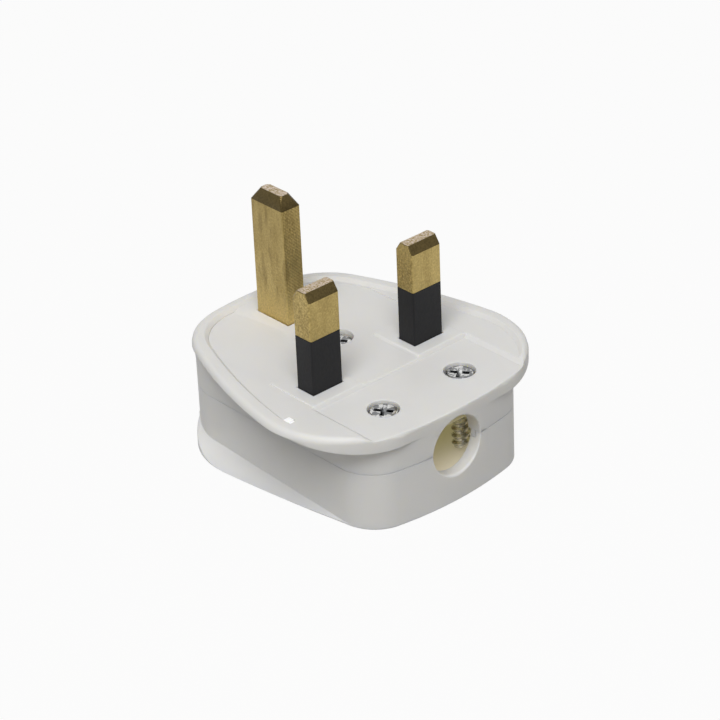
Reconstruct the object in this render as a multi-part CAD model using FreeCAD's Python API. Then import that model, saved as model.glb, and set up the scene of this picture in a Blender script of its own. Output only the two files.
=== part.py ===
import FreeCAD, Part
import math
import os
from collections import namedtuple

# Rewireable three pin plug with a 13 A fuse, lying on its cover with the pins up.
# Millimetres. The origin lies on the pin face, midway between the line and neutral pins:
# +Z runs along the pins, +Y towards the earth pin, and the cord leaves through the -Y side.

V = FreeCAD.Vector

# Pin pattern and pins
PIN_SPACING = 22.23
EARTH_DISTANCE = 22.23
PIN_WIDTH = 6.35
PIN_THICKNESS = 3.97
PIN_LENGTH = 18.05
EARTH_WIDTH = 7.92
EARTH_LENGTH = 23.15
PIN_EDGE = 0.22
TIP_HEIGHT = 1.5
EARTH_TIP_HEIGHT = 2.1
TIP_FLAT = 1.95
EARTH_TIP_INSET = 1.3
EARTH_TIP_CORNER = 0.5
PIN_CLEARANCE = 0.06
SLEEVE_HEIGHT = 9.65
SLEEVE_WALL = 0.5
SLEEVE_CLEARANCE = 0.02

# Depths, measured down from the pads that the pins stand on
BODY_DEPTH = 18.25
PARTING_DEPTH = 7.9
FLANGE_LIP = 0.9
CHIN_DEPTH = 3.3
WAIST_DEPTH = 4.8
PLATE_DEPTH = 3.0
COVER_FLOOR = 2.0

# Walls and the tongue that centres the cover on the base
WALL = 2.2
FRONT_WALL = 3.0
TONGUE_THICKNESS = 1.0
TONGUE_HEIGHT = 1.2
FIT_CLEARANCE = 0.1

# Terminal heads of the pins, inside the base
HEAD_DEPTH = 6.4
WIRE_HOLE_RADIUS = 1.6
WIRE_HOLE_DEPTH = 2.7
NEUTRAL_HEAD_WIDTH = 7.8
NEUTRAL_HEAD_FRONT = 3.2
NEUTRAL_HEAD_BACK = 6.3
NEUTRAL_SCREW_Y = 1.2
EARTH_HEAD_WIDTH = 8.4
EARTH_HEAD_FRONT = 5.0
EARTH_HEAD_BACK = 5.0
EARTH_SCREW_SETBACK = 2.0
LINE_HEAD_DEPTH = 1.6
LINE_HEAD_HALF = 3.2
HEAD_ROOM = 0.485

# Cartridge fuse and its clips
FUSE_LENGTH = 25.4
FUSE_RADIUS = 3.17
FUSE_CAP_LENGTH = 5.6
FUSE_CAP_WALL = 0.4
FUSE_BORE = 1.9
FUSE_FRONT = -4.4
FUSE_CLEARANCE = 0.03
CLIP_WALL = 0.5
CLIP_LENGTH = 4.4
CLIP_MOUTH = 4.6
CLIP_FLAT = 4.4
TERMINAL_X = -9.6
TERMINAL_GAP = 0.4
TERMINAL_WIDTH = 4.4
TERMINAL_LENGTH = 5.0
TERMINAL_SCREW_SETBACK = 1.85
TERMINAL_DEPTH = 5.6

# Room behind the line terminal and the earth pin's head, which sets how far back the body reaches
TERMINAL_ROOM = 4.2
EARTH_ROOM = 3.37
FUSE_BACK = FUSE_FRONT + FUSE_LENGTH
TERMINAL_FRONT = FUSE_BACK + TERMINAL_GAP
TERMINAL_BACK = TERMINAL_FRONT + TERMINAL_LENGTH
EARTH_HEAD_END = EARTH_DISTANCE + EARTH_HEAD_BACK
BODY_BACK = max(TERMINAL_BACK + TERMINAL_ROOM, EARTH_HEAD_END + EARTH_ROOM)
FLANGE_REACH = 1.15
SKIRT_SETBACK = 0.4

# Plan outlines: apex and bow of each side, half widths at the corners, and corner radii
Outline = namedtuple(
    "Outline",
    "front back front_half back_half front_bow back_bow side_bow front_radius back_radius",
)
FLANGE = Outline(
    front=-20.3,
    back=BODY_BACK + FLANGE_REACH,
    front_half=26.3,
    back_half=14.75,
    front_bow=2.8,
    back_bow=1.75,
    side_bow=3.0,
    front_radius=15.3,
    back_radius=12.8,
)
WAIST = Outline(
    front=-20.15,
    back=BODY_BACK,
    front_half=17.7,
    back_half=17.7,
    front_bow=2.6,
    back_bow=3.5,
    side_bow=0.15,
    front_radius=7.2,
    back_radius=9.2,
)
SKIRT = Outline(
    front=-20.0,
    back=BODY_BACK - SKIRT_SETBACK,
    front_half=16.9,
    back_half=22.4,
    front_bow=2.6,
    back_bow=5.5,
    side_bow=0.7,
    front_radius=7.2,
    back_radius=14.6,
)
CHIN_START = -8.0
SWEEP_LEVELS = 4
SWEEP_HOLLOW = 0.69

# Pin face: rim, recessed tray, deeper field between the pads, and the front panel
RIM_HEIGHT = 0.4
RIM_WIDTH = 2.0
RIM_EDGE = 1.1
RIM_LEVELS = 3
RIM_SLOPE = 0.7
RIM_FADE = 1.2
TRAY_RUN_OUT = 1.4
TRAY_RADIUS = 16.4
TRAY_DEPTH = 0.2
FIELD_DEPTH = 0.4
FIELD_HALF = 16.6
PANEL_DEPTH = 0.75
PANEL_HALF = 16.3
PANEL_SLOPE = 1.15
FRONT_EDGE = 1.5
PAD_INNER = 6.4
PAD_FRONT = 4.5
PAD_BACK = 6.0
PAD_SLOPE = 0.4
EARTH_PAD_HALF = 3.5
EARTH_PAD_FRONT = 6.0
EARTH_PAD_SLOPE = 1.8
GATE_MARK_LENGTH = 1.5
GATE_MARK_WIDTH = 1.2
GATE_MARK_HEIGHT = 0.3
GATE_MARK_Y = -4.8

# Cover: side ledges that slope out to the skirt, and its bevelled back edge
SKIRT_HEIGHT = 4.0
LEDGE_DEPTH = 17.1
LEDGE_FALL = 0.39
LEDGE_RISE = 0.047
BACK_EDGE = 0.3

# Cord entry and clamp
CORD_RADIUS = 5.2
CORD_EDGE = 0.5
CLAMP_X = 8.4
CLAMP_Y = -12.0
BAR_OVERHANG = 3.2
BAR_WIDTH = 4.2
BAR_THICKNESS = 2.6
SADDLE_HALF = 5.0
SADDLE_HEIGHT = 1.1
SADDLE_THICKNESS = 1.2
SADDLE_SPACING = 2.6

# Screws
HEAD_RADIUS = 2.45
HEAD_HEIGHT = 1.6
HEAD_SINK = 1.15
HEAD_CLEARANCE = 0.2
SCREW_RADIUS = 1.6
SCREW_CLEARANCE = 0.1
CLAMP_TIP_GAP = 0.55
COVER_SCREW_X = 1.7
COVER_SCREW_Y = 10.1
COVER_SCREW_LENGTH = 11.0
BOSS_RADIUS = 3.1
BOSS_DROP = 2.6
TERMINAL_SCREW_RADIUS = 1.45
TERMINAL_HEAD_RADIUS = 1.75
TERMINAL_HEAD_HEIGHT = 1.6
TERMINAL_SCREW_LENGTH = 3.6

# Ribs of the cover that hold the heads in the base
RIB_THICKNESS = 1.1
RIB_SPAN = 5.0

# How close two heights must be to count as one
NEAR = 1e-6

# Levels and places worked out from the sizes above
PIN_X = PIN_SPACING / 2
WAIST_TAPER = (WAIST.back_half - WAIST.front_half) / (WAIST.back - WAIST.front)
WALL_INSIDE = WAIST.front_half - WALL + WAIST_TAPER * (FUSE_FRONT - WAIST.front)
WALL_INSIDE = min(WALL_INSIDE, WALL_INSIDE + WAIST_TAPER * FUSE_LENGTH)
HEAD_X = WALL_INSIDE - HEAD_ROOM - NEUTRAL_HEAD_WIDTH / 2
BACK_Z = -BODY_DEPTH
PARTING_Z = -PARTING_DEPTH
PLATE_Z = -PLATE_DEPTH
FLOOR_Z = BACK_Z + COVER_FLOOR
HEAD_Z = PLATE_Z - HEAD_DEPTH
HEAD_TOP_Z = -HEAD_SINK
SEAT_Z = HEAD_TOP_Z - HEAD_HEIGHT
CLAMP_SCREW_LENGTH = SEAT_Z - FLOOR_Z - CLAMP_TIP_GAP
BOSS_Z = PLATE_Z - BOSS_DROP
LINE_HEAD_Z = PLATE_Z - LINE_HEAD_DEPTH
FUSE_Z = LINE_HEAD_Z - CLIP_WALL - FUSE_CLEARANCE - FUSE_RADIUS
STRIP_Z = LINE_HEAD_Z - CLIP_WALL
TERMINAL_Z = STRIP_Z - TERMINAL_DEPTH
FRONT_CLIP_Y = FUSE_FRONT + FUSE_CAP_LENGTH / 2
REAR_CLIP_Y = FUSE_BACK - FUSE_CAP_LENGTH / 2
EARTH_SCREW_Y = EARTH_DISTANCE - EARTH_SCREW_SETBACK
LINE_SCREW_Y = TERMINAL_FRONT + TERMINAL_SCREW_SETBACK
SLOT = 2 * PIN_CLEARANCE


# Plan outlines and prisms

def bowed(start, end, bow):
    """Centre and radius of the arc from start to end that bulges to its right by bow."""
    chord = end - start
    radius = (chord.Length ** 2 / 4 + bow ** 2) / (2 * bow)
    outward = V(chord.y, -chord.x, 0).normalize()
    return (start + end) / 2 - outward * (radius - bow), radius


def rounding(first, second, radius, corner):
    """Centre of the circle inside two bowed sides that rounds off their corner."""
    (centre, reach), (other, other_reach) = first, second
    reach -= radius
    other_reach -= radius
    apart = (other - centre).Length
    along = (reach ** 2 - other_reach ** 2 + apart ** 2) / (2 * apart)
    aside = math.sqrt(reach ** 2 - along ** 2)
    axis = (other - centre) / apart
    normal = V(-axis.y, axis.x, 0)
    choices = [centre + axis * along + normal * aside * sign for sign in (1, -1)]
    return min(choices, key=lambda point: (point - corner).Length)


def arc(circle, start, end, inset=0):
    """Edge on a circle from start to end, the short way round, moved in by inset."""
    centre, radius = circle
    points = []
    for point in (start, (start + end) / 2, end):
        points.append(centre + (point - centre).normalize() * (radius - inset))
    return Part.Arc(*points).toShape()


def outline(form, z, inset=0):
    """Closed wire of four bowed sides and four round corners at height z, moved in by inset."""
    front = form.front + form.front_bow
    back = form.back - form.back_bow
    corners = [
        V(-form.front_half, front, z),
        V(form.front_half, front, z),
        V(form.back_half, back, z),
        V(-form.back_half, back, z),
    ]
    bows = [form.front_bow, form.side_bow, form.back_bow, form.side_bow]
    radii = [form.front_radius, form.front_radius, form.back_radius, form.back_radius]
    sides = [bowed(corners[i], corners[(i + 1) % 4], bows[i]) for i in range(4)]
    starts = []
    ends = []
    rounds = []
    for i in range(4):
        centre = rounding(sides[i - 1], sides[i], radii[i], corners[i])
        rounds.append((centre, radii[i]))
        ends.append(sides[i - 1][0] + (centre - sides[i - 1][0]).normalize() * sides[i - 1][1])
        starts.append(sides[i][0] + (centre - sides[i][0]).normalize() * sides[i][1])
    edges = []
    for i in range(4):
        edges.append(arc(rounds[i], ends[i], starts[i], inset))
        edges.append(arc(sides[i], starts[i], ends[(i + 1) % 4], inset))
    return Part.Wire(edges)


def prism(form, bottom, top, inset=0):
    """Upright block with the plan of an outline."""
    return Part.Face(outline(form, bottom, inset)).extrude(V(0, 0, top - bottom))


def between(first, second, share):
    """Outline a share of the way from one to another."""
    return Outline(*(a + (b - a) * share for a, b in zip(first, second)))


# Small building blocks

def block(x0, x1, y0, y1, z0, z1):
    return Part.makeBox(x1 - x0, y1 - y0, z1 - z0, V(x0, y0, z0))


def post(x, y, radius, z0, z1):
    return Part.makeCylinder(radius, z1 - z0, V(x, y, z0))


def rod(x, z, radius, y0, y1):
    return Part.makeCylinder(radius, y1 - y0, V(x, y0, z), V(0, 1, 0))


def level_edges(shape, z):
    """Edges that lie at one height."""
    return [edge for edge in shape.Edges if all(abs(v.Z - z) < NEAR for v in edge.Vertexes)]


def mirrored(shape):
    return shape.mirror(V(0, 0, 0), V(1, 0, 0))


def face(points):
    return Part.Face(Part.makePolygon(points + points[:1]))


def taper(lower, upper):
    """Solid with flat sides between two polygons of as many points."""
    faces = [face(lower), face(upper)]
    for i in range(len(lower)):
        faces.append(face([lower[i - 1], lower[i], upper[i], upper[i - 1]]))
    solid = Part.makeSolid(Part.makeShell(faces))
    solid.fix(0, 0, 0)
    return solid


def quarter(start, corner, end):
    """Quarter circle that rounds off the corner between start and end."""
    centre = start + end - corner
    return Part.Arc(start, centre + (corner - centre) * math.sqrt(0.5), end).toShape()


def rectangle(x0, x1, y0, y1, z):
    return [V(x0, y0, z), V(x1, y0, z), V(x1, y1, z), V(x0, y1, z)]


# Base: moulding with the pin face

def flange_body():
    """Solid outside of the base: rimmed lip, chin, scooped underside and straight waist."""
    foot = RIM_HEIGHT - RIM_EDGE
    sections = []
    for level in range(RIM_LEVELS + 1):
        turn = math.pi / 2 * level / RIM_LEVELS
        sections.append(outline(FLANGE, foot + RIM_EDGE * math.sin(turn), RIM_EDGE * (1 - math.cos(turn))))
    rim = Part.makeLoft(sections, True, True)
    drop = WAIST_DEPTH - FLANGE_LIP
    sections = []
    for level in range(SWEEP_LEVELS + 1):
        share = level / SWEEP_LEVELS
        hollow = SWEEP_HOLLOW * share * (1 - share)
        sections.append(outline(between(FLANGE, WAIST, share + hollow), -FLANGE_LIP - drop * share))
    sweep = Part.makeLoft(sections, True, True)
    lip = prism(FLANGE, -FLANGE_LIP, foot)
    return lip.fuse([rim, chin(), sweep, prism(WAIST, PARTING_Z, -WAIST_DEPTH)])


def chin():
    """Wedge under the lip that makes it thicker towards the front."""
    side = -FLANGE.front_half
    wedge = face(
        [
            V(side, CHIN_START, -FLANGE_LIP),
            V(side, FLANGE.front, -FLANGE_LIP),
            V(side, FLANGE.front, -CHIN_DEPTH),
        ]
    )
    return wedge.extrude(V(-2 * side, 0, 0)).common(prism(FLANGE, -CHIN_DEPTH, -FLANGE_LIP))


def tray_plan():
    """Outline inside the rim, before it is moved in, run out through the front of the pin face."""
    return FLANGE._replace(
        front=FLANGE.front - TRAY_RUN_OUT - RIM_WIDTH,
        front_radius=TRAY_RADIUS + RIM_WIDTH,
    )


def tray():
    """Shallow recess inside the rim, which slopes down to it."""
    foot = outline(tray_plan(), -TRAY_DEPTH, RIM_WIDTH + RIM_SLOPE)
    return Part.makeLoft([foot, outline(tray_plan(), RIM_HEIGHT, RIM_WIDTH)], True, True)


def field():
    """Deeper recess between the pads, as wide as the pads reach."""
    inside = prism(tray_plan(), -FIELD_DEPTH, 0, RIM_WIDTH + RIM_SLOPE)
    return inside.common(block(-FIELD_HALF, FIELD_HALF, FLANGE.front, FLANGE.back, -FIELD_DEPTH, 0))


def pads():
    """Raised lands round the three pins, with sloping sides."""
    foot = -FIELD_DEPTH
    front = -PAD_FRONT - PAD_SLOPE
    land = taper(
        rectangle(PAD_INNER - PAD_SLOPE, FIELD_HALF, front, PAD_BACK + PAD_SLOPE, foot),
        rectangle(PAD_INNER, FIELD_HALF, front, PAD_BACK, 0),
    )
    front = EARTH_DISTANCE - EARTH_PAD_FRONT
    wide = EARTH_PAD_HALF + EARTH_PAD_SLOPE
    earth = taper(
        rectangle(-wide, wide, front - EARTH_PAD_SLOPE, FLANGE.back, foot),
        rectangle(-EARTH_PAD_HALF, EARTH_PAD_HALF, front, FLANGE.back, 0),
    )
    return [land, mirrored(land), earth]


def panel():
    """Front panel, the deepest recess, with sloping walls at its back and sides."""
    front = FLANGE.front - TRAY_RUN_OUT
    back = -PAD_FRONT - PAD_SLOPE
    rise = (PANEL_DEPTH + RIM_HEIGHT) / PANEL_DEPTH
    half = PANEL_HALF + PANEL_SLOPE * rise
    return taper(
        rectangle(-PANEL_HALF, PANEL_HALF, front, back, -PANEL_DEPTH),
        rectangle(-half, half, front, back + PAD_SLOPE * rise, RIM_HEIGHT),
    )


def face_recess():
    """What is sunk into the pin face."""
    return tray().fuse(field()).cut(pads()).fuse(panel())


def front_rounding():
    """Waste outside the rounded front edge, which also fades out the ends of the rim."""
    corner = FLANGE.front + FLANGE.front_bow
    half = V(FLANGE.front_half, 0, 0)
    middle = V(0, corner, 0)
    centre, radius = bowed(middle - half, middle + half, FLANGE.front_bow)
    edge_y = centre.y - radius
    outer = edge_y - FRONT_EDGE
    low = -TRAY_DEPTH - FRONT_EDGE
    start = V(0, edge_y, low)
    end = V(0, edge_y + FRONT_EDGE, -TRAY_DEPTH)
    bend = quarter(start, V(0, edge_y, -TRAY_DEPTH), end)
    top = RIM_HEIGHT + FRONT_EDGE
    slope = V(0, RIM_FADE, RIM_HEIGHT + TRAY_DEPTH)
    over = end + slope * ((top - end.z) / slope.z)
    sides = [end, over, V(0, outer, top), V(0, outer, low), start]
    wire = Part.Wire([bend] + Part.makePolygon(sides).Edges)
    turn = 2 * math.degrees(math.asin(FLANGE.front_half / radius))
    waste = Part.Face(wire).revolve(centre, V(0, 0, 1), turn)
    waste.rotate(centre, V(0, 0, 1), -turn / 2)
    return waste


def tongue():
    """Lip of the base that centres the cover."""
    low = PARTING_Z - TONGUE_HEIGHT
    outer = prism(WAIST, low, PARTING_Z, WALL - TONGUE_THICKNESS)
    return outer.cut(prism(WAIST, low, PARTING_Z, WALL))


def cavity(bottom, top):
    """Hollow inside the walls."""
    return prism(WAIST, bottom, top, WALL)


def base():
    front = WAIST.front + FRONT_WALL
    wall = block(-WAIST.front_half, WAIST.front_half, WAIST.front, front, PARTING_Z, PLATE_Z)
    body = flange_body().cut(cavity(PARTING_Z, PLATE_Z).cut(wall))
    bosses = [post(x, CLAMP_Y, BOSS_RADIUS, BOSS_Z, PLATE_Z) for x in (-CLAMP_X, CLAMP_X)]
    bosses.append(post(COVER_SCREW_X, COVER_SCREW_Y, BOSS_RADIUS, PARTING_Z, PLATE_Z))
    for y in (CLAMP_Y - SADDLE_SPACING / 2, CLAMP_Y + SADDLE_SPACING / 2):
        half = SADDLE_THICKNESS / 2
        low = PLATE_Z - SADDLE_HEIGHT
        bosses.append(block(-SADDLE_HALF, SADDLE_HALF, y - half, y + half, low, PLATE_Z))
    strip = line_strip()
    front = REAR_CLIP_Y - CLIP_LENGTH / 2
    bosses.append(block(strip.XMin, strip.XMax, front, strip.YMax, LINE_HEAD_Z, PLATE_Z))
    body = body.fuse(bosses + [tongue()])
    body = body.cut([face_recess(), front_rounding()])
    holes = []
    for x, y in ((-CLAMP_X, CLAMP_Y), (CLAMP_X, CLAMP_Y), (COVER_SCREW_X, COVER_SCREW_Y)):
        holes.append(post(x, y, HEAD_RADIUS + HEAD_CLEARANCE, SEAT_Z, 0))
        holes.append(post(x, y, SCREW_RADIUS + SCREW_CLEARANCE, PARTING_Z, 0))
    for x in (-PIN_X, PIN_X):
        half = V(PIN_WIDTH + SLOT, PIN_THICKNESS + SLOT, 0) / 2
        holes.append(block(x - half.x, x + half.x, -half.y, half.y, PLATE_Z, 0))
    half = V(PIN_THICKNESS + SLOT, EARTH_WIDTH + SLOT, 0) / 2
    holes.append(block(-half.x, half.x, EARTH_DISTANCE - half.y, EARTH_DISTANCE + half.y, PLATE_Z, 0))
    return body.cut(holes + [cord_bore()]).fuse(gate_mark()).removeSplitter()


def gate_mark():
    """Small square pip left by the mould on the inner edge of the rim."""
    low = GATE_MARK_Y - GATE_MARK_WIDTH / 2
    high = GATE_MARK_Y + GATE_MARK_WIDTH / 2
    foot = -TRAY_DEPTH
    top = foot + GATE_MARK_HEIGHT
    inside = prism(tray_plan(), foot, top, RIM_WIDTH + RIM_SLOPE / 2)
    x = inside.common(block(-2 * FLANGE.front_half, 0, low, high, foot, top)).BoundBox.XMin
    return block(x, x + GATE_MARK_LENGTH, low, high, foot, top)


def cord_bore():
    """Round cord entry, half in the base and half in the cover, with a rounded mouth."""
    length = FRONT_WALL + TONGUE_HEIGHT
    outer = WAIST.front - length
    mouth = WAIST.front + CORD_EDGE
    wide = CORD_RADIUS + CORD_EDGE
    start = V(CORD_RADIUS, mouth, PARTING_Z)
    end = V(wide, WAIST.front, PARTING_Z)
    bend = quarter(start, V(CORD_RADIUS, WAIST.front, PARTING_Z), end)
    sides = [end, V(wide, outer, PARTING_Z), V(0, outer, PARTING_Z), V(0, mouth, PARTING_Z), start]
    flare = Part.Face(Part.Wire([bend] + Part.makePolygon(sides).Edges))
    flare = flare.revolve(V(0, 0, PARTING_Z), V(0, 1, 0), 360)
    return rod(0, PARTING_Z, CORD_RADIUS, outer, WAIST.front + length).fuse(flare)


# Cover: moulding that closes the back

def ledge_waste(side):
    """What lies above the sloping ledge on one side of the cover."""
    z = -LEDGE_DEPTH + LEDGE_RISE * SKIRT.front
    reach = SKIRT.back_half + WALL
    inner = WAIST.front_half - WALL
    end = face(
        [
            V(side * inner, SKIRT.front, z + LEDGE_FALL * WALL),
            V(side * reach, SKIRT.front, z - LEDGE_FALL * (reach - WAIST.front_half)),
            V(side * reach, SKIRT.front, 0),
            V(side * inner, SKIRT.front, 0),
        ]
    )
    length = SKIRT.back - SKIRT.front
    return end.extrude(V(0, length, LEDGE_RISE * length))


def skirt():
    """Widened foot of the cover under the finger scoops."""
    foot = prism(SKIRT, BACK_Z, BACK_Z + SKIRT_HEIGHT)
    foot = foot.makeChamfer(BACK_EDGE, level_edges(foot, BACK_Z))
    return foot.cut([ledge_waste(-1), ledge_waste(1)])


def rib(x, y, top):
    """Hold-down rib of the cover under a terminal head."""
    return block(x - RIB_SPAN / 2, x + RIB_SPAN / 2, y - RIB_THICKNESS, y, FLOOR_Z, top)


def cover():
    body = prism(WAIST, BACK_Z, PARTING_Z)
    body = body.makeChamfer(BACK_EDGE, level_edges(body, BACK_Z))
    body = body.fuse(skirt())
    low = PARTING_Z - TONGUE_HEIGHT - FIT_CLEARANCE
    rebate = prism(WAIST, low, PARTING_Z, WALL - TONGUE_THICKNESS - FIT_CLEARANCE)
    body = body.cut([cavity(FLOOR_Z, PARTING_Z), rebate])
    fixtures = [
        post(COVER_SCREW_X, COVER_SCREW_Y, BOSS_RADIUS, FLOOR_Z, PARTING_Z - FIT_CLEARANCE),
        rib(HEAD_X, NEUTRAL_HEAD_BACK, HEAD_Z),
        rib(0, EARTH_HEAD_END, HEAD_Z),
        rib(TERMINAL_X, TERMINAL_BACK, TERMINAL_Z),
    ]
    body = body.fuse(fixtures)
    tip = SEAT_Z - COVER_SCREW_LENGTH
    radius = SCREW_RADIUS + SCREW_CLEARANCE
    hole = post(COVER_SCREW_X, COVER_SCREW_Y, radius, tip - FIT_CLEARANCE, PARTING_Z)
    return body.cut([hole, cord_bore()]).removeSplitter()


# Pins and sleeves

def section(x, y, width, depth, edge, z):
    """Corner points of a rectangle with its corners cut off."""
    a = width / 2
    b = depth / 2
    corners = [(a, b - edge), (a - edge, b), (edge - a, b), (-a, b - edge)]
    corners += [(-u, -w) for u, w in corners]
    return [V(x + u, y + w, z) for u, w in corners]


def bar(x, y, width, depth, edge, z0, z1):
    return face(section(x, y, width, depth, edge, z0)).extrude(V(0, 0, z1 - z0))


def wire_terminal(head, x, y, front, screw_y):
    """A pin's terminal head with its wire hole, and the threaded hole that crosses it."""
    wire_z = PLATE_Z - WIRE_HOLE_DEPTH
    radius = TERMINAL_SCREW_RADIUS + SLEEVE_CLEARANCE
    return head.cut([rod(x, wire_z, WIRE_HOLE_RADIUS, front, y), post(x, screw_y, radius, HEAD_Z, wire_z)])


def earth_pin():
    shoulder = EARTH_LENGTH - EARTH_TIP_HEIGHT
    shaft = bar(0, EARTH_DISTANCE, PIN_THICKNESS, EARTH_WIDTH, PIN_EDGE, PLATE_Z, shoulder)
    length = EARTH_WIDTH - 2 * EARTH_TIP_INSET
    tip = taper(
        section(0, EARTH_DISTANCE, PIN_THICKNESS, EARTH_WIDTH, PIN_EDGE, shoulder),
        section(0, EARTH_DISTANCE, TIP_FLAT, length, EARTH_TIP_CORNER, EARTH_LENGTH),
    )
    half = EARTH_HEAD_WIDTH / 2
    front = EARTH_DISTANCE - EARTH_HEAD_FRONT
    head = block(-half, half, front, EARTH_HEAD_END, HEAD_Z, PLATE_Z)
    head = wire_terminal(head, 0, EARTH_DISTANCE, front, EARTH_SCREW_Y)
    return shaft.fuse([tip, head]).removeSplitter()


def power_pin(x):
    """Brass of a line or neutral pin, necked down where its sleeve lies flush."""
    shoulder = PIN_LENGTH - TIP_HEIGHT
    width = PIN_WIDTH - 2 * SLEEVE_WALL
    thickness = PIN_THICKNESS - 2 * SLEEVE_WALL
    neck = bar(x, 0, width, thickness, PIN_EDGE, PLATE_Z, SLEEVE_HEIGHT)
    shaft = bar(x, 0, PIN_WIDTH, PIN_THICKNESS, PIN_EDGE, SLEEVE_HEIGHT, shoulder)
    tip = taper(
        section(x, 0, PIN_WIDTH, PIN_THICKNESS, PIN_EDGE, shoulder),
        section(x, 0, PIN_WIDTH, TIP_FLAT, PIN_EDGE, PIN_LENGTH),
    )
    return neck.fuse([shaft, tip])


def neutral_pin():
    half = NEUTRAL_HEAD_WIDTH / 2
    head = block(HEAD_X - half, HEAD_X + half, -NEUTRAL_HEAD_FRONT, NEUTRAL_HEAD_BACK, HEAD_Z, PLATE_Z)
    head = wire_terminal(head, HEAD_X, NEUTRAL_SCREW_Y, -NEUTRAL_HEAD_FRONT, NEUTRAL_SCREW_Y)
    return power_pin(PIN_X).fuse(head).removeSplitter()


def line_pin():
    half = NEUTRAL_HEAD_WIDTH / 2
    head = block(-HEAD_X - half, -HEAD_X + half, -LINE_HEAD_HALF, LINE_HEAD_HALF, LINE_HEAD_Z, PLATE_Z)
    return power_pin(-PIN_X).fuse(head).removeSplitter()


def sleeve(x):
    """Insulating sleeve, flush with the brass above it."""
    walls = 2 * (SLEEVE_WALL - SLEEVE_CLEARANCE)
    outside = bar(x, 0, PIN_WIDTH, PIN_THICKNESS, PIN_EDGE, PLATE_Z, SLEEVE_HEIGHT)
    inside = bar(x, 0, PIN_WIDTH - walls, PIN_THICKNESS - walls, PIN_EDGE, PLATE_Z, SLEEVE_HEIGHT)
    return outside.cut(inside)


# Screws and clamp

def face_screw(x, y, length):
    """Screw that enters from the pin face."""
    head = post(x, y, HEAD_RADIUS, SEAT_Z, HEAD_TOP_Z)
    return head.fuse(post(x, y, SCREW_RADIUS, SEAT_Z - length, SEAT_Z)).removeSplitter()


def terminal_screw(x, y, seat):
    """Clamping screw that enters a terminal head from the cover side."""
    head = post(x, y, TERMINAL_HEAD_RADIUS, seat - TERMINAL_HEAD_HEIGHT, seat)
    shank = post(x, y, TERMINAL_SCREW_RADIUS, seat, seat + TERMINAL_SCREW_LENGTH)
    return head.fuse(shank).removeSplitter()


def clamp_bar():
    half = CLAMP_X + BAR_OVERHANG
    width = BAR_WIDTH / 2
    body = block(-half, half, CLAMP_Y - width, CLAMP_Y + width, BOSS_Z - BAR_THICKNESS, BOSS_Z)
    body = body.makeFillet(WALL / 2, [e for e in body.Edges if e.BoundBox.ZLength > BAR_THICKNESS / 2])
    radius = SCREW_RADIUS + SLEEVE_CLEARANCE
    low = BOSS_Z - BAR_THICKNESS
    return body.cut([post(x, CLAMP_Y, radius, low, BOSS_Z) for x in (-CLAMP_X, CLAMP_X)])


# Fuse, its clips and the line terminal

def fuse_tube():
    front = FUSE_FRONT + FUSE_CAP_WALL
    back = FUSE_BACK - FUSE_CAP_WALL
    radius = FUSE_RADIUS - FUSE_CAP_WALL - FUSE_CLEARANCE
    return rod(-HEAD_X, FUSE_Z, radius, front, back).cut(rod(-HEAD_X, FUSE_Z, FUSE_BORE, front, back))


def fuse_cap(outer, inward):
    """End cap whose closed end lies at outer, opening inward."""
    mouth = outer + inward * FUSE_CAP_LENGTH
    floor = outer + inward * FUSE_CAP_WALL
    shell = rod(-HEAD_X, FUSE_Z, FUSE_RADIUS, min(outer, mouth), max(outer, mouth))
    return shell.cut(rod(-HEAD_X, FUSE_Z, FUSE_RADIUS - FUSE_CAP_WALL, min(floor, mouth), max(floor, mouth)))


def clip(y):
    """Spring clip that grips an end cap, open towards the cover."""
    front = y - CLIP_LENGTH / 2
    back = y + CLIP_LENGTH / 2
    bore = FUSE_RADIUS + FUSE_CLEARANCE
    flat = CLIP_FLAT / 2
    shell = rod(-HEAD_X, FUSE_Z, bore + CLIP_WALL, front, back)
    shell = shell.fuse(block(-HEAD_X - flat, -HEAD_X + flat, front, back, FUSE_Z, LINE_HEAD_Z))
    mouth = CLIP_MOUTH / 2
    low = FUSE_Z - 2 * FUSE_RADIUS
    opening = block(-HEAD_X - mouth, -HEAD_X + mouth, front, back, low, FUSE_Z)
    return shell.cut([rod(-HEAD_X, FUSE_Z, bore, front, back), opening])


def line_strip():
    """Bounds of the strip that leads from the rear clip to the line terminal."""
    outer = TERMINAL_X - TERMINAL_WIDTH / 2
    inner = -HEAD_X + CLIP_FLAT / 2
    return block(outer, inner, REAR_CLIP_Y + CLIP_LENGTH / 2, TERMINAL_BACK, STRIP_Z, LINE_HEAD_Z).BoundBox


def rear_clip():
    """Rear clip with its strip."""
    box = line_strip()
    strip = block(box.XMin, box.XMax, box.YMin, box.YMax, box.ZMin, box.ZMax)
    return clip(REAR_CLIP_Y).fuse(strip).removeSplitter()


def line_terminal():
    half = TERMINAL_WIDTH / 2
    body = block(TERMINAL_X - half, TERMINAL_X + half, TERMINAL_FRONT, TERMINAL_BACK, TERMINAL_Z, STRIP_Z)
    wire_z = TERMINAL_Z + HEAD_DEPTH - WIRE_HOLE_DEPTH
    start = V(TERMINAL_X - half, LINE_SCREW_Y, wire_z)
    hole = Part.makeCylinder(WIRE_HOLE_RADIUS, TERMINAL_WIDTH, start, V(1, 0, 0))
    radius = TERMINAL_SCREW_RADIUS + SLEEVE_CLEARANCE
    return body.cut([hole, post(TERMINAL_X, LINE_SCREW_Y, radius, TERMINAL_Z, wire_z)])


def terminal_screws():
    return Part.makeCompound(
        [
            terminal_screw(0, EARTH_SCREW_Y, HEAD_Z),
            terminal_screw(HEAD_X, NEUTRAL_SCREW_Y, HEAD_Z),
            terminal_screw(TERMINAL_X, LINE_SCREW_Y, TERMINAL_Z),
        ]
    )


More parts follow.
